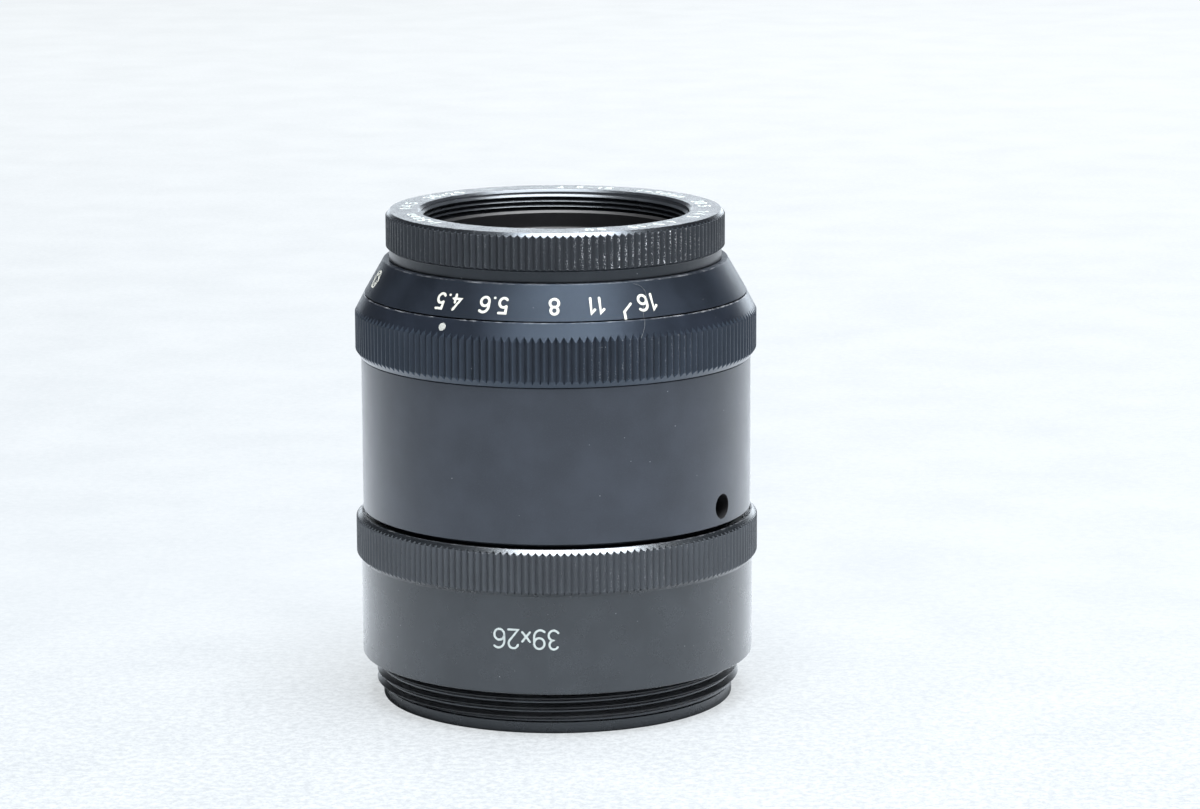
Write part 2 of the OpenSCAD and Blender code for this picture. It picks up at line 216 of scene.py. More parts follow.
def lathe(name, outline, material, segments=360, knurl=None, sharp=30):
    """Turns a closed (r, z) outline round Z. knurl = (teeth, crest radius, depth) cuts V grooves."""
    if knurl:
        teeth, crest_r, depth = knurl
        columns = [clipped(outline, crest_r - cut * depth) for _, cut in TOOTH]
        rays = [((k + share) / teeth * 2 * math.pi, columns[i])
                for k in range(teeth) for i, (share, _) in enumerate(TOOTH)]
    else:
        rays = [(2 * math.pi * k / segments, outline) for k in range(segments)]
    verts = [(column[i][0] * math.sin(a), -column[i][0] * math.cos(a), column[i][1])
             for i in range(len(outline)) for a, column in rays]
    rows, cols = len(outline), len(rays)
    faces = [(i * cols + j, i * cols + (j + 1) % cols,
              (i + 1) % rows * cols + (j + 1) % cols, (i + 1) % rows * cols + j)
             for i in range(rows) for j in range(cols)]
    return make_object(name, verts, faces, material, sharp)


def helix_ridge(name, material, root_r, crest_r, z, azimuth, pitch, turns, root_w, crest_w, bevel):
    """A right-hand thread ridge from a start height and azimuth. It fades in and out over a sixth of a
    turn."""
    per_turn = 180
    steps = int(turns * per_turn)
    lead = per_turn / 6
    bury = 0.15 if crest_r > root_r else -0.15
    verts = []
    for k in range(steps + 1):
        a = math.radians(azimuth) + 2 * math.pi * k / per_turn
        zc = z + pitch * k / per_turn
        fade = min(1, k / lead, (steps - k) / lead)
        tip = root_r + (crest_r - root_r) * fade
        edge = tip - math.copysign(bevel * fade, bury)
        for r, dz in ((root_r - bury, -root_w / 2), (root_r, -root_w / 2), (edge, -crest_w / 2 - bevel),
                      (tip, -crest_w / 2), (tip, crest_w / 2), (edge, crest_w / 2 + bevel),
                      (root_r, root_w / 2), (root_r - bury, root_w / 2)):
            verts.append((r * math.sin(a), -r * math.cos(a), zc + dz))
    sides = 8
    faces = [(i * sides + j, i * sides + (j + 1) % sides,
              (i + 1) * sides + (j + 1) % sides, (i + 1) * sides + j)
             for i in range(steps) for j in range(sides)]
    faces += [tuple(range(sides))[::-1], tuple(steps * sides + j for j in range(sides))]
    return make_object(name, verts, faces, material, 30)


# ---------------------------------------------------------------- materials

def new_material(name):
    mat = bpy.data.materials.new(name)
    mat.use_nodes = True
    tree = mat.node_tree
    return mat, tree, tree.nodes["Principled BSDF"]


def node(tree, kind, **values):
    """Adds a shader node and sets its properties and input values by name."""
    made = tree.nodes.new(kind)
    for key, value in values.items():
        if hasattr(made, key):
            setattr(made, key, value)
        else:
            made.inputs[key.replace("_", " ")].default_value = value
    return made


def feed(tree, socket, value):
    """Links an output socket to an input socket, or sets a number or an (r, g, b) there."""
    if isinstance(value, bpy.types.NodeSocket):
        tree.links.new(value, socket)
    else:
        socket.default_value = (*value, 1) if isinstance(value, tuple) else value


def math_node(tree, operation, a, b=0.0):
    """A Math node whose inputs are sockets or numbers."""
    made = tree.nodes.new("ShaderNodeMath")
    made.operation = operation
    feed(tree, made.inputs[0], a)
    feed(tree, made.inputs[1], b)
    return made.outputs[0]


def times(tree, a, b):
    return math_node(tree, "MULTIPLY", a, b)


def plus(tree, a, b):
    return math_node(tree, "ADD", a, b)


def less(tree, a, b):
    return math_node(tree, "SUBTRACT", a, b)


def noise(tree, vector, scale, detail=3.0, rough=0.55):
    made = node(tree, "ShaderNodeTexNoise", Scale=scale, Detail=detail, Roughness=rough)
    tree.links.new(vector, made.inputs["Vector"])
    return made.outputs["Fac"]


def stepped(tree, value, low, high):
    """0 below low, 1 above high, smooth between."""
    made = node(tree, "ShaderNodeMapRange", interpolation_type="SMOOTHSTEP")
    tree.links.new(value, made.inputs["Value"])
    made.inputs["From Min"].default_value = low
    made.inputs["From Max"].default_value = high
    return made.outputs["Result"]


def mixed(tree, share, a, b):
    """Mix of two colours; share is a socket, a and b are sockets or (r, g, b)."""
    made = tree.nodes.new("ShaderNodeMix")
    made.data_type = "RGBA"
    tree.links.new(share, made.inputs["Factor"])
    feed(tree, made.inputs[6], a)
    feed(tree, made.inputs[7], b)
    return made.outputs[2]


def place(tree):
    """(position in mm, radius from the axis, height, x), each as a socket."""
    coords = tree.nodes.new("ShaderNodeTexCoord")
    scaled = node(tree, "ShaderNodeVectorMath", operation="SCALE")
    tree.links.new(coords.outputs["Object"], scaled.inputs[0])
    scaled.inputs["Scale"].default_value = 1 / MM
    split = tree.nodes.new("ShaderNodeSeparateXYZ")
    tree.links.new(scaled.outputs[0], split.inputs[0])
    x, y, z = split.outputs
    radius = math_node(tree, "SQRT", plus(tree, times(tree, x, x), times(tree, y, y)))
    return scaled.outputs[0], radius, z, x


def band(tree, value, centre, half, soft):
    """1 within half of centre, falling to 0 over soft."""
    off = math_node(tree, "ABSOLUTE", less(tree, value, centre))
    return less(tree, 1.0, stepped(tree, off, half, half + soft))


def bumped(tree, shader, height, strength, depth_mm):
    """Feeds a height socket to the shader as a bump of a given depth."""
    bump = node(tree, "ShaderNodeBump", Strength=strength, Distance=depth_mm * MM)
    tree.links.new(height, bump.inputs["Height"])
    tree.links.new(bump.outputs[0], shader.inputs["Normal"])


def dust_specks(tree, spot):
    """Mask of small specks, about one in a square millimetre, thinned out in patches."""
    cells = node(tree, "ShaderNodeTexVoronoi", Scale=0.85)
    tree.links.new(spot, cells.inputs["Vector"])
    specks = less(tree, 1.0, stepped(tree, cells.outputs["Distance"], 0.025, 0.05))
    return times(tree, specks, stepped(tree, noise(tree, spot, 0.6, 2.0), 0.50, 0.58))


def crest_chips(tree, spot, radius, x, amount, crest_r):
    """Mask of chips in the tooth crests, in patches and mostly right of the middle."""
    stretch = node(tree, "ShaderNodeMapping")
    stretch.inputs["Scale"].default_value = (1.0, 1.0, 0.75)
    tree.links.new(spot, stretch.inputs["Vector"])
    chips = stepped(tree, noise(tree, stretch.outputs[0], 9.5, 2.0, 0.6), 0.58, 0.62)
    right = less(tree, stepped(tree, x, -1.0, 5.0), stepped(tree, x, 12.0, 16.0))
    patch = times(tree, stepped(tree, noise(tree, spot, 0.45, 2.0), 0.36, 0.56),
                  plus(tree, 0.12, times(tree, right, 0.88)))
    crest = stepped(tree, radius, crest_r - 0.10, crest_r - 0.03)
    return times(tree, times(tree, chips, crest), times(tree, patch, amount))


def turning_marks(tree, spot, radius, height):
    """Fine rings, which change with height on walls and with radius on faces, over a blasted grain."""
    per_mm = 14.0
    rings = tree.nodes.new("ShaderNodeCombineXYZ")
    tree.links.new(times(tree, radius, per_mm), rings.inputs[0])
    tree.links.new(times(tree, height, per_mm), rings.inputs[1])
    marks = noise(tree, rings.outputs[0], 1.0, 3.0)
    blast = noise(tree, spot, 26.0, 2.0)
    return plus(tree, times(tree, marks, 0.5), times(tree, blast, 0.6))


def anodised(name, tint, sheen, rough=0.32, wear=(), flecks=0.0, fleck_r=0.0, zones=(), shine=0.5):
    """Satin black anodised aluminium: fine turning marks, cloudy tone, dust specks, thin bright wear at
    the heights in wear = ((height, strength), ...), and chipped tooth crests beyond fleck_r.
    zones = ((low, high, inner, outer, paler, rougher, shinier), ...) are bands of height and radius with
    another colour, roughness and shine; a paler band in a shaded recess is painted fill light."""
    mat, tree, shader = new_material(name)
    spot, radius, height, x = place(tree)

    cloud = stepped(tree, noise(tree, spot, 0.22, 4.0), 0.3, 0.75)
    grain = stepped(tree, noise(tree, spot, 9.0, 3.0), 0.45, 0.8)
    colour = mixed(tree, cloud, tuple(c * 0.72 for c in tint), tuple(c * 1.35 for c in tint))
    colour = mixed(tree, times(tree, grain, 0.5), colour, tuple(c * 1.9 for c in tint))
    colour = mixed(tree, times(tree, dust_specks(tree, spot), 0.5), colour, DUST)

    roughness = plus(tree, rough - 0.04, times(tree, noise(tree, spot, 0.5, 4.0), 0.08))
    level = shine
    for low, high, inner, outer, paler, rougher, shinier in zones:
        mask = times(tree, band(tree, radius, (inner + outer) / 2, (outer - inner) / 2, 0.03),
                     band(tree, height, (low + high) / 2, (high - low) / 2 - 0.05, 0.10))
        # A paler zone lifts the colour here. Where the zone is a shaded recess, the lift is painted fill
        # light.
        lifted = node(tree, "ShaderNodeVectorMath", operation="ADD")
        tree.links.new(colour, lifted.inputs[0])
        lifted.inputs[1].default_value = (paler * 0.92, paler, paler * 1.12)
        colour = mixed(tree, mask, colour, lifted.outputs[0])
        roughness = plus(tree, roughness, times(tree, mask, rougher))
        level = plus(tree, level, times(tree, mask, shinier))
    tree.links.new(roughness, shader.inputs["Roughness"])
    feed(tree, shader.inputs["Specular IOR Level"], level)

    masks = [crest_chips(tree, spot, radius, x, flecks, fleck_r)] if flecks else []
    broken = stepped(tree, noise(tree, spot, 0.9, 5.0, 0.75), 0.42, 0.66)
    for edge_z, strength in wear:
        masks.append(times(tree, times(tree, band(tree, height, edge_z, 0.02, 0.05), broken), strength))
    if masks:
        worn = masks[0]
        for mask in masks[1:]:
            worn = math_node(tree, "MAXIMUM", worn, mask)
        colour = mixed(tree, worn, colour, BARE_METAL)
    feed(tree, shader.inputs["Base Color"], colour)

    bumped(tree, shader, turning_marks(tree, spot, radius, height), 0.35, 0.012)
    shader.inputs["IOR"].default_value = 1.5
    shader.inputs["Specular Tint"].default_value = (*sheen, 1)
    return mat


def matte(name, tint, rough=0.6, shine=0.5):
    """Flat black paint with a fine grain."""
    mat, tree, shader = new_material(name)
    spot = place(tree)[0]
    grain = noise(tree, spot, 7.0, 4.0)
    colour = mixed(tree, grain, tuple(c * 0.6 for c in tint), tuple(c * 1.5 for c in tint))
    tree.links.new(colour, shader.inputs["Base Color"])
    feed(tree, shader.inputs["Roughness"], plus(tree, rough - 0.1, times(tree, grain, 0.2)))
    shader.inputs["Specular IOR Level"].default_value = shine
    bumped(tree, shader, noise(tree, spot, 18.0, 2.0), 0.4, 0.01)
    return mat


def metal(name, tint, rough, anisotropic=0.0):
    """Bare or blackened metal with a brushed grain."""
    mat, tree, shader = new_material(name)
    spot = place(tree)[0]
    stretch = node(tree, "ShaderNodeMapping")
    stretch.inputs["Scale"].default_value = (1.5, 12.0, 1.5)
    tree.links.new(spot, stretch.inputs["Vector"])
    grain = noise(tree, stretch.outputs[0], 1.0, 4.0)
    colour = mixed(tree, grain, tuple(c * 0.75 for c in tint), tuple(min(1, c * 1.2) for c in tint))
    tree.links.new(colour, shader.inputs["Base Color"])
    feed(tree, shader.inputs["Roughness"], plus(tree, rough - 0.06, times(tree, grain, 0.12)))
    shader.inputs["Metallic"].default_value = 0.9
    shader.inputs["Anisotropic"].default_value = anisotropic
    return mat


def paint(name, tint):
    """Engraving paint: chalky, slightly uneven in tone."""
    mat, tree, shader = new_material(name)
    spot = place(tree)[0]
    tone = stepped(tree, noise(tree, spot, 2.4, 4.0, 0.65), 0.3, 0.7)
    colour = mixed(tree, tone, tuple(c * 0.80 for c in tint), tint)
    tree.links.new(colour, shader.inputs["Base Color"])
    shader.inputs["Roughness"].default_value = 0.62
    bumped(tree, shader, noise(tree, spot, 8.0, 3.0), 0.5, 0.02)
    return mat


def glass(name, tint):
    """Coated optical glass with a faint bloom of dust."""
    mat, tree, shader = new_material(name)
    spot = place(tree)[0]
    bloom = stepped(tree, noise(tree, spot, 1.3, 5.0, 0.7), 0.45, 0.8)
    tree.links.new(mixed(tree, bloom, tint, tuple(c * 0.94 for c in tint)), shader.inputs["Base Color"])
    tree.links.new(times(tree, bloom, 0.04), shader.inputs["Roughness"])
    shader.inputs["Transmission Weight"].default_value = 1.0
    shader.inputs["IOR"].default_value = 1.6
    shader.inputs["Specular Tint"].default_value = (0.62, 0.50, 1.0, 1)
    return mat


# Each zone: lowest and highest z, inner and outer radius, then how much paler, rougher and shinier.
FRONT_BLACK = anodised("front_ring_black", (0.0068, 0.0075, 0.0088), (0.84, 0.93, 1.03), 0.26,
                       wear=((FACE_Z, 0.06),), flecks=0.75, fleck_r=FRONT_R,
                       zones=((48.6, FACE_Z - 0.42, 17.0, FRONT_R - 0.04, 0.012, 0.30, -0.32),
                              (47.3, 48.6, 17.0, FRONT_R, -0.002, 0.05, -0.10),
                              (FACE_Z - 0.40, FACE_Z - 0.06, 17.0, FRONT_R, -0.004, 0.0, 0.25),
                              (FACE_Z - 0.30, FACE_Z - 0.04, 13.9, 14.7, 0.0, 0.0, -0.18),
                              # Grooves between the thread ridges in the mouth: paler as painted fill light
                              # in their shade, and rougher and duller.
                              (50.1, FACE_Z - 0.30, 13.9, 14.4, 0.022, 0.20, -0.20)))
FRONT_THREAD_BLACK = anodised("front_thread_black", (0.010, 0.011, 0.0125), (0.86, 0.93, 1.0), 0.26,
                              shine=0.42)
CONE_BLACK = anodised("scale_cone_black", (0.0058, 0.0072, 0.0100), (0.62, 0.80, 1.05), 0.39,
                      wear=((CONE_TOP_Z - 0.05, 0.12),), shine=0.27)
RING_BLACK = anodised("aperture_ring_black", (0.0058, 0.0072, 0.0105), (0.64, 0.82, 1.06), 0.30,
                      wear=((RING_TOP_Z - 0.03, 0.20),), flecks=0.12, fleck_r=RING_R,
                      zones=((RING_Z + 0.7, RING_CHAMFER_Z + 0.05, 19.0, RING_R - 0.04,
                              0.006, 0.22, -0.18),))
BARREL_BLACK = anodised("barrel_black", (0.0110, 0.0125, 0.0165), (0.80, 0.88, 1.0), 0.31)
TUBE_BLACK = anodised("tube_black", (0.0095, 0.0107, 0.0124), (0.88, 0.94, 1.0), 0.28,
                      wear=((TUBE_TOP_Z, 0.08), (SHOULDER_Z + 0.05, 0.06)),
                      flecks=0.14, fleck_r=TUBE_KNURL_R,
                      zones=((TUBE_KNURL_Z - 0.15, TUBE_TOP_Z - 0.50, 20.5, TUBE_KNURL_R - 0.04,
                              0.032, 0.24, -0.22),
                             (TUBE_TOP_Z - 0.46, TUBE_TOP_Z - 0.04, 20.5, TUBE_KNURL_R,
                              -0.005, -0.03, 0.32)))
THREAD_BLACK = anodised("thread_black", (0.0140, 0.0144, 0.0156), (0.92, 0.96, 1.0), 0.32, shine=0.4)
INNER_BLACK = matte("inner_black", (0.006, 0.006, 0.0065), 0.6, 0.15)
HOOD_BLACK = matte("hood_black", (0.0035, 0.0035, 0.0038), 0.5, 0.25)
BLADE_METAL = metal("blade_steel", (0.07, 0.07, 0.08), 0.35, 0.4)
STEEL = metal("bright_steel", (0.55, 0.55, 0.56), 0.25)
SCALE_PAINT = paint("scale_paint", (0.36, 0.36, 0.32))
NUMBER_PAINT = paint("number_paint", (0.40, 0.44, 0.43))
FACE_PAINT = paint("face_paint", (0.36, 0.40, 0.38))
DOT_PAINT = paint("dot_paint", (0.22, 0.225, 0.21))
LINT = paint("lint", (0.12, 0.13, 0.135))
GLASS = glass("coated_glass", (0.97, 0.98, 1.0))


# ---------------------------------------------------------------- turned shells

def piece(obj, body, slot, *nodes):
    """Puts a finished mesh on its CAD body and hides the CAD nodes it stands for; the slot it is given is
    not used.
    """
    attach(obj, body)
    if nodes:
        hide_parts(*nodes)
    return obj


def front_ring():
    """Knurled front ring: flat face, female thread in its mouth, and the smooth neck below the knurl."""
    chamfer_run, chamfer_rise = FRONT_CHAMFER
    inner_r = OPENING_R + 0.35
    outline = rounded([
        (inner_r, SPIGOT_Z, 0), (SPIGOT_R, SPIGOT_Z, 0), (SPIGOT_R, CONE_TOP_Z + SEAM, 0),
        (NECK_R, CONE_TOP_Z + SEAM, 0.04), (NECK_R, NECK_TOP_Z, 0.12), (FRONT_R, FRONT_KNURL_Z, 0),
        (FRONT_R, FACE_Z - chamfer_rise, 0), (FRONT_R - chamfer_run, FACE_Z, 0.03),
        (OPENING_R + 0.6, FACE_Z, 0.04), (FRONT_GROOVE_R, FACE_Z - MOUTH_DEPTH, 0.03),
        (FRONT_GROOVE_R, FRONT_THREAD_Z, 0), (inner_r, FRONT_THREAD_Z, 0)])
    ring = lathe("front_ring_shell", outline, FRONT_BLACK, knurl=FRONT_KNURL, sharp=20)
    piece(ring, "head", "ring_black", "front_ring")
    ridge = helix_ridge("front_thread_ridge", FRONT_THREAD_BLACK, FRONT_GROOVE_R, OPENING_R,
                        FRONT_THREAD_Z - 0.17, -150, FRONT_PITCH, 3.3, 0.52, 0.03, 0.15)
    piece(ridge, "head", "ring_black")


def scale_cone():
    """Fixed cone with the aperture numbers; a dark gap under its foot makes the seam to the ring."""
    outline = rounded([
        (17.02, CONE_Z + 0.10, 0), (CONE_FOOT_R - 0.05, CONE_Z + 0.10, 0),
        (CONE_TOP_R, CONE_TOP_Z, 0.05), (17.02, CONE_TOP_Z, 0)])
    piece(lathe("scale_cone_shell", outline, CONE_BLACK, segments=480), "head", "scale_black", "scale_cone")


def aperture_ring():
    """The ring that turns: chamfer with the index dot, knurl, and an undercut below."""
    outline = rounded([
        (18.04, RING_Z, 0), (RING_R - 0.54, RING_Z, 0.04), (RING_R, RING_Z + 0.8, 0),
        (RING_R, RING_CHAMFER_Z, 0), (CONE_FOOT_R + 0.03, RING_TOP_Z, 0.02),
        (18.04, RING_TOP_Z, 0)])
    ring = lathe("aperture_ring_shell", outline, RING_BLACK, knurl=RING_KNURL, sharp=20)
    piece(ring, "aperture", "ring_black", "aperture_ring")


def head_barrel():
    """Plain barrel with the radial spanner hole and the neck that goes down into the tube."""
    outline = rounded([
        (17.5, 16.2, 0), (18.4, 16.2, 0), (18.6, 16.4, 0), (18.6, TUBE_TOP_Z - 0.20, 0),
        (19.7, TUBE_TOP_Z - 0.20, 0), (19.7, BARREL_Z + 0.10, 0), (20.6, BARREL_Z + 0.10, 0),
        (20.6, BARREL_Z, 0), (BARREL_R, BARREL_Z, 0.05),
        (BARREL_R, BARREL_TOP_Z, 0.10), (18.6, BARREL_TOP_Z, 0), (18.6, 25.0, 0),
        (15.7, 25.0, 0), (15.7, 24.0, 0), (17.5, 24.0, 0)])
    barrel = lathe("barrel_shell", outline, BARREL_BLACK, segments=480)
    drill_hole(barrel, HOLE_AZ, HOLE_Z, HOLE_R, BARREL_R - 2, BARREL_R + 1)
    piece(barrel, "head", "barrel_black", "head_barrel")


def drill_hole(obj, azimuth, height, radius, r1, r2):
    """Cuts a radial blind hole with a small broken edge, and keeps the wall's own shading."""
    a = math.radians(azimuth)
    out = Vector((math.sin(a), -math.cos(a), 0))
    turn = out.to_track_quat("Z", "Y").to_matrix().to_4x4()
    sides = 64
    verts, faces = [], []
    rows = ((r1, radius), (BARREL_R - 0.07, radius), (BARREL_R + 0.02, radius + 0.10), (r2, radius + 0.10))
    for depth, r in rows:
        for k in range(sides):
            b = 2 * math.pi * k / sides
            p = turn @ Vector((r * math.cos(b), r * math.sin(b), depth))
            verts.append((p.x, p.y, p.z + height))
    for i in range(len(rows) - 1):
        for k in range(sides):
            faces.append((i * sides + k, i * sides + (k + 1) % sides,
                          (i + 1) * sides + (k + 1) % sides, (i + 1) * sides + k))
    faces.append(tuple(range(sides))[::-1])
    faces.append(tuple((len(rows) - 1) * sides + k for k in range(sides)))
    cutter = make_object("hole_cutter", verts, faces, INNER_BLACK)
    cut = obj.modifiers.new("hole", "BOOLEAN")
    cut.operation = "DIFFERENCE"
    cut.solver = "EXACT"
    cut.object = cutter
    cut.material_mode = "TRANSFER"
    graph = bpy.context.evaluated_depsgraph_get()
    result = bpy.data.meshes.new_from_object(obj.evaluated_get(graph))
    obj.modifiers.clear()
    obj.data = result
    result.set_sharp_from_angle(angle=math.radians(30))
    bpy.data.objects.remove(cutter)


def extension_tube():
    """Extension tube: knurled band, plain wall, shoulder, male mount thread, and baffle grooves inside."""
    outline = rounded([
        (17.4, 0, 0.05), (PILOT_R, 0, 0.12), (PILOT_R, PILOT_H, 0.08), (ROOT_R - 0.35, PILOT_H + 0.1, 0),
        (ROOT_R - 0.35, PILOT_H + 0.15, 0), (ROOT_R, PILOT_H + 0.25, 0), (ROOT_R, SHOULDER_Z - 0.35, 0),
        (ROOT_R - 0.3, SHOULDER_Z - 0.3, 0), (ROOT_R - 0.3, SHOULDER_Z, 0), (TUBE_R, SHOULDER_Z, 0.25),
        (TUBE_R, TUBE_KNURL_Z - 0.65, 0.10), (TUBE_KNURL_R, TUBE_KNURL_Z, 0),
        (TUBE_KNURL_R, TUBE_TOP_Z - 0.58, 0), (TUBE_R - 0.05, TUBE_TOP_Z, 0.03),
        (TUBE_R - 0.20, TUBE_TOP_Z, 0), (TUBE_R - 0.25, TUBE_TOP_Z - 0.25, 0),
        (19.25, TUBE_TOP_Z - 0.25, 0), (19.25, 15.8, 0), (17.4, 15.8, 0)]
        + [(17.4 + (0.3 if k % 2 else 0), 14.6 - 0.45 * k, 0) for k in range(2 * BAFFLES + 1)])
    tube = lathe("tube_shell", outline, TUBE_BLACK, knurl=TUBE_KNURL, sharp=20)
    piece(tube, "head", "barrel_black", "extension_tube")
    ridge = helix_ridge("mount_thread_ridge", THREAD_BLACK, ROOT_R, MOUNT_R, 1.55, -150,
                        MOUNT_PITCH, 2.8, 0.84, 0.05, 0.03)
    piece(ridge, "head", "barrel_black")


def front_cell():
    """Matt hood round the front glass; its rim shows below the front thread."""
    outline = rounded([
        (6.3, 41, 0), (14.95, 41, 0), (14.95, 44.6, 0), (16.0, 44.6, 0), (16.0, 45.4, 0),
        (12.6, 45.4, 0), (12.6, 47.0, 0), (13.75, 48.1, 0), (13.75, HOOD_Z, 0.02), (13.62, HOOD_Z, 0.02),
        (13.35, HOOD_Z - 0.25, 0.03), (13.35, 48.4, 0.3), (9.25, 47.25, 0), (9.25, 45.8, 0),
        (8.63, 45.8, 0), (8.63, 44.06, 0), (7.03, 44.06, 0), (7.03, 41.2, 0), (6.3, 41.2, 0)])
    piece(lathe("front_hood", outline, HOOD_BLACK, segments=256), "head", "inner_black", "front_cell")


def dome(rim, ball, top_z, steps=28):
    """Points of a convex cap from its apex down to the rim."""
    edge = math.asin(rim / ball)
    return [(ball * math.sin(edge * k / steps), top_z - ball + ball * math.cos(edge * k / steps))
            for k in range(steps + 1)]


def front_glass():
    """First element, with a convex front."""
    rim, ball = 8.6, 16.0
    apex = top("front_element")
    low = foot("front_element")
    cap = dome(rim, ball, apex)
    outline = [(1e-4, low), (rim, low)] + cap[::-1][:-1] + [(1e-4, apex)]
    element = lathe("front_glass", outline, GLASS, segments=192)
    piece(element, "head", "coated_glass", "front_element")


# ---------------------------------------------------------------- engraved marks

def arc(cx, cy, rx, ry, start, end, steps=16):
    """Points of an elliptical arc; angles from +X, counter-clockwise."""
    return [(cx + rx * math.cos(math.radians(start + (end - start) * k / steps)),
             cy + ry * math.sin(math.radians(start + (end - start) * k / steps)))
            for k in range(steps + 1)]


# Single-line characters, one unit tall: width, then strokes.
GLYPHS = {
    "0": (0.54, [arc(0.27, 0.5, 0.27, 0.5, 90, 450, 28)]),
    "1": (0.24, [[(0.0, 0.76), (0.22, 1.0), (0.22, 0.0)]]),
    "2": (0.52, [arc(0.26, 0.74, 0.25, 0.26, 165, -38) + [(0.0, 0.0), (0.52, 0.0)]]),
    "3": (0.52, [arc(0.25, 0.76, 0.23, 0.24, 150, -85) + arc(0.25, 0.26, 0.27, 0.27, 80, -150)]),
    "4": (0.56, [[(0.44, 1.0), (0.02, 0.27), (0.56, 0.27)], [(0.42, 0.52), (0.42, 0.0)]]),
    "5": (0.52, [[(0.50, 1.0), (0.08, 1.0), (0.06, 0.56)] + arc(0.25, 0.31, 0.27, 0.31, 130, -140)]),
    "6": (0.54, [arc(0.33, 0.62, 0.33, 0.38, 50, 180) + arc(0.27, 0.29, 0.27, 0.29, 180, 540, 26)]),
    "8": (0.54, [arc(0.27, 0.76, 0.22, 0.24, -90, 270, 24), arc(0.27, 0.27, 0.27, 0.27, 90, 450, 26)]),
    "9": (0.54, [arc(0.21, 0.38, 0.33, 0.38, 230, 360) + arc(0.27, 0.71, 0.27, 0.29, 0, 360, 26)]),
    ".": (0.10, [[(0.05, 0.03), (0.05, 0.031)]]),
    ":": (0.10, [[(0.05, 0.2), (0.05, 0.201)], [(0.05, 0.62), (0.05, 0.621)]]),
    "x": (0.40, [[(0.0, 0.12), (0.40, 0.62)], [(0.0, 0.62), (0.40, 0.12)]]),
    "-": (0.36, [[(0.0, 0.45), (0.36, 0.45)]]),
    "m": (0.70, [[(0.0, 0.0), (0.0, 0.6)],
                 [(0.0, 0.45)] + arc(0.175, 0.45, 0.175, 0.16, 150, 0, 8) + [(0.35, 0.0)],
                 [(0.35, 0.45)] + arc(0.525, 0.45, 0.175, 0.16, 150, 0, 8) + [(0.70, 0.0)]]),
    "f": (0.34, [arc(0.30, 0.78, 0.16, 0.22, 80, 180, 8) + [(0.14, 0.0)], [(0.0, 0.58), (0.32, 0.58)]]),
    "=": (0.42, [[(0.0, 0.36), (0.42, 0.36)], [(0.0, 0.6), (0.42, 0.6)]]),
}


def ribbon(points, width, lift, to_surface, verts, faces):
    """Adds one stroke with round ends as a thin closed solid on a surface.
    to_surface maps (u, v, height) in mm to a point."""
    path = [Vector(p) for p in points]
    if (path[-1] - path[0]).length < 0.01 and len(path) < 4:
        path[-1] = path[0] + Vector((0, 0.002))
    half = width / 2
    left, right = [], []
    for i, p in enumerate(path):
        ahead = path[min(i + 1, len(path) - 1)] - p
        behind = p - path[max(i - 1, 0)]
        turn = (ahead.normalized() if ahead.length > 0 else Vector((0, 0))) + \
               (behind.normalized() if behind.length > 0 else Vector((0, 0)))
        way = turn.normalized() if turn.length > 1e-6 else Vector((0, 1))
        square = Vector((-way.y, way.x))
        stretch = 1 / max(0.55, abs(square.dot(Vector((-ahead.normalized().y, ahead.normalized().x)))
                                    if ahead.length > 0 else 1))
        left.append(p + square * half * stretch)
        right.append(p - square * half * stretch)
    loop = left[:]
    heading = math.atan2(*(path[-1] - path[-2]).yx)
    loop += [path[-1] + half * Vector((math.cos(heading + math.pi / 2 - math.pi * k / 8),
                                       math.sin(heading + math.pi / 2 - math.pi * k / 8)))
             for k in range(1, 8)]
    loop += right[::-1]
    heading = math.atan2(*(path[0] - path[1]).yx)
    loop += [path[0] + half * Vector((math.cos(heading + math.pi / 2 - math.pi * k / 8),
                                      math.sin(heading + math.pi / 2 - math.pi * k / 8)))
             for k in range(1, 8)]
    count = len(path)
    base = len(verts)
    total = len(loop)
    for height in (lift, -0.03):
        verts += [to_surface(p.x, p.y, height) for p in loop]
    for k in range(total):
        faces.append((base + k, base + total + k, base + total + (k + 1) % total, base + (k + 1) % total))

    def mirror(i):
        """The point across the stroke from point i."""
        return count + 7 + (count - 1 - i)

    for level in (0, total):
        def add_face(*ids):
            ids = [base + level + i for i in ids]
            faces.append(tuple(ids if level == 0 else ids[::-1]))
        for i in range(count - 1):
            add_face(i, mirror(i), mirror(i + 1), i + 1)
        add_face(*range(count - 1, count + 8))
        add_face(*range(count + 7 + count - 1, total), 0)


def text_width(text, size, gap):
    """Width of a line of engraved characters."""
    return sum(GLYPHS[c][0] for c in text) * size + gap * (len(text) - 1)


def engrave(name, text, size, gap, width, to_surface, material, body, slot, lift=STROKE_LIFT,
            wobble=0.0):
    """Strokes of a text centred on u = 0, standing on v = 0."""
    rng = random.Random(name)
    verts, faces = [], []
    u = -text_width(text, size, gap) / 2
    for c in text:
        wide, strokes = GLYPHS[c]
        shift = rng.uniform(-wobble, wobble)
        for stroke in strokes:
            ribbon([(u + x * size, y * size + shift) for x, y in stroke], width, lift,
                   to_surface, verts, faces)
        u += wide * size + gap
    piece(make_object(name, verts, faces, material, 40), body, slot)


def on_cone(azimuth, z):
    """Surface map of the cone, upside down so that it reads from the front of the lens.
    v = 0 is the end of the characters nearer the front."""
    slope = math.atan2(CONE_FOOT_R - CONE_TOP_R, CONE_TOP_Z - CONE_Z)

    def surface(u, v, height):
        zz = z - v * math.cos(slope) + height * math.sin(slope)
        r = CONE_FOOT_R - (z - v * math.cos(slope) - CONE_Z) * math.tan(slope) + height * math.cos(slope)
        a = math.radians(azimuth) - u / (CONE_FOOT_R - (z - CONE_Z) * math.tan(slope))
        return (r * math.sin(a), -r * math.cos(a), zz)
    return surface


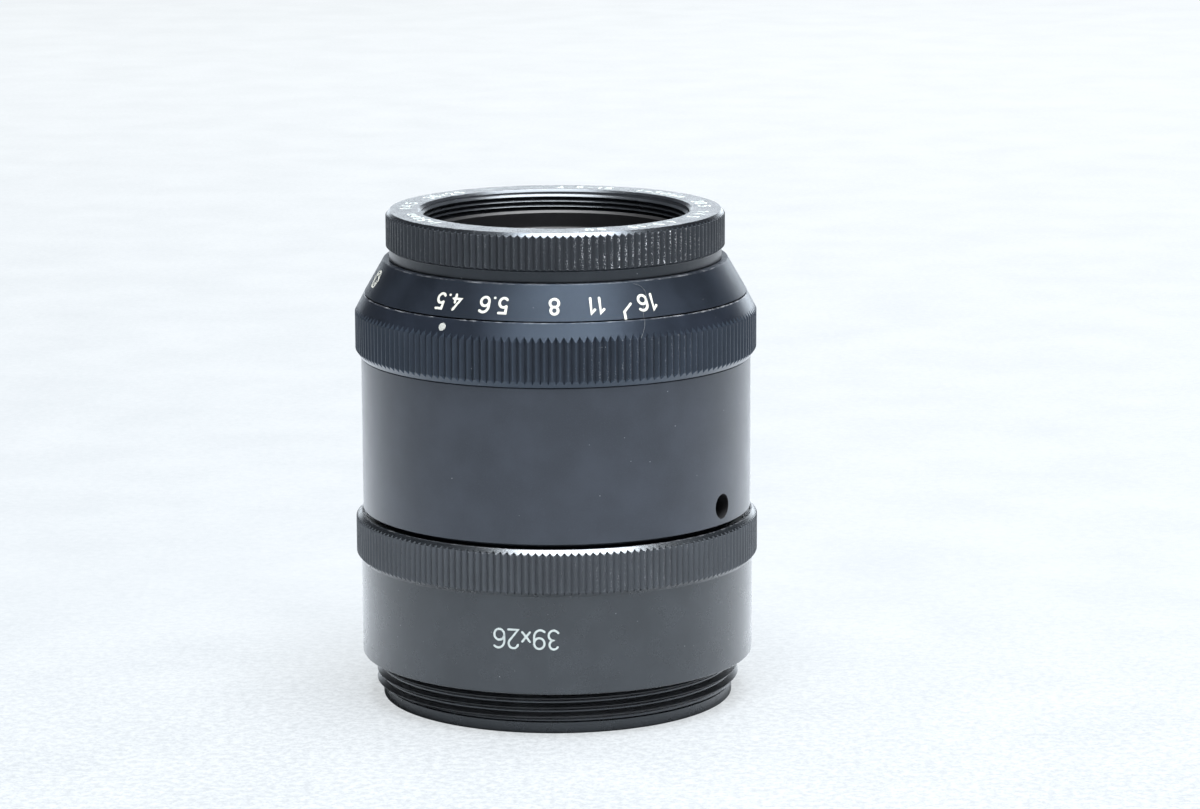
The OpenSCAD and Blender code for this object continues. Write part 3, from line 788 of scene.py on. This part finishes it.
def on_wall(azimuth, z, radius):
    """Surface map of a cylinder, upside down."""
    def surface(u, v, height):
        a = math.radians(azimuth) - u / radius
        return ((radius + height) * math.sin(a), -(radius + height) * math.cos(a), z - v)
    return surface


def on_face(azimuth, radius):
    """Surface map of the front face; the characters stand on the given radius with their tops outward."""
    def surface(u, v, height):
        r = radius + v
        a = math.radians(azimuth) - u / radius
        return (r * math.sin(a), -r * math.cos(a), FACE_Z + height)
    return surface


def scale_marks():
    """The aperture numbers, and the leader that ties the last one to its place on the scale."""
    for label, azimuth, gap in (("4.5", -34.2, 0.44), ("5.6", -18.9, 0.47), ("8", -0.4, 0),
                                ("11", 12.5, 0.54), ("16", 28.7, 0.60)):
        engrave("scale_" + label.replace(".", "_"), label, SCALE_TALL, gap, SCALE_STROKE,
                on_cone(azimuth, SCALE_FOOT_Z), SCALE_PAINT, "head", "scale_paint", wobble=0.02)
    verts, faces = [], []
    surface = on_cone(20.65, 43.80)
    ribbon([(0, -0.05), (0, -0.72)], SCALE_STROKE, STROKE_LIFT, surface, verts, faces)
    ribbon([(0.02, -0.78), (-0.88, -1.62)], 0.25, 0.014, surface, verts, faces)
    piece(make_object("scale_16_leader", verts, faces, SCALE_PAINT, 40), "head", "scale_paint")


def on_chamfer(azimuth, z):
    """Surface map of the aperture ring's upper chamfer, v up the slope."""
    run = RING_R - CONE_FOOT_R - 0.03
    rise = RING_TOP_Z - RING_CHAMFER_Z
    length = math.hypot(run, rise)

    def surface(u, v, height):
        zz = z + v * rise / length + height * run / length
        r = RING_R - (z - RING_CHAMFER_Z) * run / rise - v * run / length + height * rise / length
        a = math.radians(azimuth) + u / RING_R
        return (r * math.sin(a), -r * math.cos(a), zz)
    return surface


def index_dot():
    """Round painted dot on the aperture ring's upper chamfer."""
    surface = on_chamfer(INDEX_AZ, 42.80)
    sides = 28
    rim = [2 * math.pi * k / sides for k in range(sides)]
    rows = ((0.36, 0.025), (0.42, 0.018), (0.45, -0.04))
    verts = [surface(0, 0, 0.027)]
    verts += [surface(size * math.cos(b), size * math.sin(b), height) for size, height in rows for b in rim]
    faces = [(0, 1 + k, 1 + (k + 1) % sides) for k in range(sides)]
    faces += [(1 + i * sides + k, 1 + (i + 1) * sides + k,
               1 + (i + 1) * sides + (k + 1) % sides, 1 + i * sides + (k + 1) % sides)
              for i in range(len(rows) - 1) for k in range(sides)]
    faces.append(tuple(1 + (len(rows) - 1) * sides + k for k in range(sides))[::-1])
    piece(make_object("index_dot", verts, faces, DOT_PAINT, 50), "aperture", "scale_paint")


def iris_pictogram():
    """Plain six-sided iris sign at the end of the scale."""
    verts, faces = [], []
    surface = on_cone(-78.5, 45.60)
    corners = arc(0, 0, 1.05, 1.05, 0, 360, 6)
    ribbon(corners, 0.2, STROKE_LIFT, surface, verts, faces)
    for k in range(6):
        (x1, y1), (x2, y2) = corners[k], corners[(k + 2) % 6]
        ribbon([(x1, y1), (x1 + (x2 - x1) * 0.62, y1 + (y2 - y1) * 0.62)], 0.14, 0.011,
               surface, verts, faces)
    piece(make_object("iris_pictogram", verts, faces, SCALE_PAINT, 40), "head", "scale_paint")


def other_marks():
    """Generic thread size on the tube and generic marks round the front face."""
    engrave("thread_size", "39x26", 1.98, 0.44, 0.22, on_wall(-8.9, 11.58, TUBE_R), NUMBER_PAINT,
            "head", "scale_paint", wobble=0.03)
    labels = (("f=50mm", -63), ("1:4.5", -98), ("39x26", -130), ("4.5-16", 168), ("f=50mm", 132),
              ("28.5", 100), ("1:4.5", 72), ("4.5-16", 40), ("50", 15))
    for k, (label, azimuth) in enumerate(labels):
        engrave(f"face_{k}", label, 1.2, 0.62, 0.17, on_face(azimuth, 15.3), FACE_PAINT,
                "head", "scale_paint", lift=0.006)


# ---------------------------------------------------------------- fibre

def lint():
    """One hair of lint that lies on the cone over the smallest aperture number."""
    curve = bpy.data.curves.new("lint_fibre", "CURVE")
    curve.dimensions = "3D"
    curve.bevel_depth = 0.011 * MM
    curve.bevel_resolution = 1
    spline = curve.splines.new("BEZIER")
    route = ((25.6, 47.08, 0.05), (27.7, 46.80, 0.12), (28.9, 46.18, 0.08), (28.4, 45.42, 0.10),
             (26.8, 44.70, 0.08), (26.3, 44.06, 0.10), (26.1, 43.38, 0.14), (25.2, 42.64, 0.14),
             (23.9, 41.92, 0.10))
    spline.bezier_points.add(len(route) - 1)
    rise_per_mm = math.tan(math.radians(29.6))
    for point, (azimuth, z, height) in zip(spline.bezier_points, route):
        r = CONE_FOOT_R - (z - CONE_Z) * rise_per_mm + height
        a = math.radians(azimuth)
        point.co = Vector((r * math.sin(a), -r * math.cos(a), z)) * MM
        point.handle_left_type = point.handle_right_type = "AUTO"
    obj = bpy.data.objects.new("lint_fibre", curve)
    bpy.context.scene.collection.objects.link(obj)
    curve.materials.append(LINT)
    piece(obj, "head", "scale_paint")


# ---------------------------------------------------------------- CAD nodes that stay

def dress(nodes, material):
    """Gives CAD nodes one material."""
    for name in nodes:
        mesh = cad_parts[name].data
        mesh.materials.clear()
        mesh.materials.append(material)
        mesh.polygons.foreach_set("material_index", [0] * len(mesh.polygons))


def dress_cad():
    """Materials of the pieces inside, which are seen as the CAD made them."""
    dress(["lens_barrel", "rear_lock_ring", "iris_base_ring", "iris_cam_ring", "iris_retainer",
           "element_spacer", "rear_cell", "rear_retaining_ring", "front_retaining_ring"], INNER_BLACK)
    dress([f"iris_blade_{k:02d}" for k in range(1, 11)], BLADE_METAL)
    dress(["drive_screw", "click_ball", "click_spring"], STEEL)
    dress(["second_element", "third_element", "fourth_element"], GLASS)


# ---------------------------------------------------------------- stage, light and camera

def stage():
    """Pale cloth floor. The camera sees it almost blown out, as a long exposure of a black object would,
    while the light it throws on the object stays that of a cloth under the soft box."""
    floor_mat, tree, shader = new_material("pale_cloth")
    coords = tree.nodes.new("ShaderNodeTexCoord")
    split = tree.nodes.new("ShaderNodeSeparateXYZ")
    tree.links.new(coords.outputs["Object"], split.inputs[0])
    spot = coords.outputs["Object"]
    across, depth = split.outputs[0], split.outputs[1]
    weave = noise(tree, spot, 900.0, 4.0)
    soft = noise(tree, spot, 60.0, 3.0)
    tone = stepped(tree, plus(tree, times(tree, weave, 0.6), times(tree, soft, 0.4)), 0.3, 0.7)
    cloth = mixed(tree, tone, (0.36, 0.375, 0.39), (0.40, 0.415, 0.43))
    seen = mixed(tree, tone, (0.054, 0.059, 0.064), (0.066, 0.070, 0.074))
    direct = tree.nodes.new("ShaderNodeLightPath").outputs["Is Camera Ray"]
    feed(tree, shader.inputs["Base Color"], mixed(tree, direct, cloth, seen))

    # The glow rises towards the back and the right; the nap shows only near the front.
    far = times(tree, stepped(tree, depth, -0.05, 0.70), FLOOR_GLOW_FAR - FLOOR_GLOW_NEAR)
    right = times(tree, stepped(tree, across, -0.12, 0.12), 0.045)
    glow = plus(tree, plus(tree, far, FLOOR_GLOW_NEAR), right)
    nap = plus(tree, noise(tree, spot, 2400.0, 3.0, 0.75), noise(tree, spot, 1100.0, 2.0, 0.6))
    coarse = less(tree, 0.32, times(tree, stepped(tree, depth, -0.05, 0.06), 0.28))
    nap = times(tree, less(tree, stepped(tree, nap, 0.75, 1.25), 0.5), coarse)
    nap = plus(tree, nap, plus(tree, 0.95, times(tree, soft, 0.10)))
    feed(tree, shader.inputs["Emission Strength"], times(tree, times(tree, glow, nap), direct))
    shader.inputs["Emission Color"].default_value = (0.945, 0.985, 1.010, 1)
    shader.inputs["Roughness"].default_value = 1.0
    shader.inputs["Specular IOR Level"].default_value = 0.0
    bumped(tree, shader, weave, 0.25, 0.2)
    mesh = bpy.data.meshes.new("floor")
    mesh.from_pydata([(x * FLOOR_HALF, y * FLOOR_HALF, 0) for x, y in ((-1, -1), (1, -1), (1, 1), (-1, 1))],
                     [], [(0, 1, 2, 3)])
    mesh.materials.append(floor_mat)
    floor = bpy.data.objects.new("floor", mesh)
    bpy.context.scene.collection.objects.link(floor)


def soft_box(name, place_m, tilt, size, radiance):
    """An area light that faces down, tilted about X by a number of degrees."""
    light = bpy.data.lights.new(name, "AREA")
    light.shape = "RECTANGLE"
    light.size, light.size_y = size
    light.energy = radiance * 4 * size[0] * size[1]
    light.color = LIGHT_COLOUR
    box = bpy.data.objects.new(name, light)
    box.location = place_m
    box.rotation_euler = (math.radians(tilt), 0, 0)
    box.visible_camera = False
    bpy.context.scene.collection.objects.link(box)


def lighting():
    """A large soft box overhead, a dim wide one in front, a bright backdrop low behind, and a dark room."""
    soft_box("soft_box_top", (0.070, -0.09, 0.62), 0, (0.48, 0.58), SOFT_BOX_RADIANCE)
    soft_box("soft_box_front", (0.06, -0.52, 0.58), 42, (0.90, 0.24), FRONT_BOX_RADIANCE)

    world = bpy.data.worlds.new("studio")
    bpy.context.scene.world = world
    world.use_nodes = True
    tree = world.node_tree
    back = tree.nodes["Background"]
    path = tree.nodes.new("ShaderNodeLightPath")
    coords = tree.nodes.new("ShaderNodeTexCoord")
    split = tree.nodes.new("ShaderNodeSeparateXYZ")
    tree.links.new(coords.outputs["Generated"], split.inputs[0])
    across, depth, up = split.outputs
    wall = less(tree, 1.0, stepped(tree, up, 0.05, 0.256))
    for edge in (stepped(tree, across, -0.42, -0.30), stepped(tree, depth, 0.0, 0.3),
                 less(tree, 1.0, stepped(tree, across, 0.50, 0.66)),
                 plus(tree, 0.80, times(tree, stepped(tree, across, -0.35, 0.35), 0.45))):
        wall = times(tree, wall, edge)
    backdrop = tuple(BACKDROP_RADIANCE * c for c in (0.89, 0.97, 1.04))
    seen = mixed(tree, path.outputs["Is Camera Ray"], mixed(tree, wall, ROOM, backdrop), ROOM_SEEN)
    tree.links.new(seen, back.inputs["Color"])
    back.inputs["Strength"].default_value = 1.0


def camera():
    """A long lens a little above the object, looking about 11 degrees down."""
    pitch, yaw, roll = (math.radians(v) for v in (10.968, 0.604, -0.203))
    forward = Vector((math.sin(yaw) * math.cos(pitch), math.cos(yaw) * math.cos(pitch), -math.sin(pitch)))
    right = Vector((math.cos(yaw), -math.sin(yaw), 0))
    up = right.cross(forward)
    turned_right = math.cos(roll) * right + math.sin(roll) * up
    turned_up = -math.sin(roll) * right + math.cos(roll) * up
    data = bpy.data.cameras.new("camera")
    data.sensor_width = 36.0
    data.lens = 126.77
    data.dof.use_dof = False
    data.clip_start = 0.01
    data.clip_end = 20.0
    obj = bpy.data.objects.new("camera", data)
    axes = Matrix((turned_right, turned_up, -forward)).transposed()
    obj.matrix_world = Matrix.Translation((0, -0.44434, 0.11736)) @ axes.to_4x4()
    bpy.context.scene.collection.objects.link(obj)
    bpy.context.scene.camera = obj


camera()
front_ring()
scale_cone()
aperture_ring()
head_barrel()
extension_tube()
front_cell()
front_glass()
scale_marks()
index_dot()
iris_pictogram()
other_marks()
lint()
dress_cad()
stage()
lighting()

bpy.context.scene.view_settings.view_transform = "Standard"
bpy.context.scene.cycles.use_denoising = True
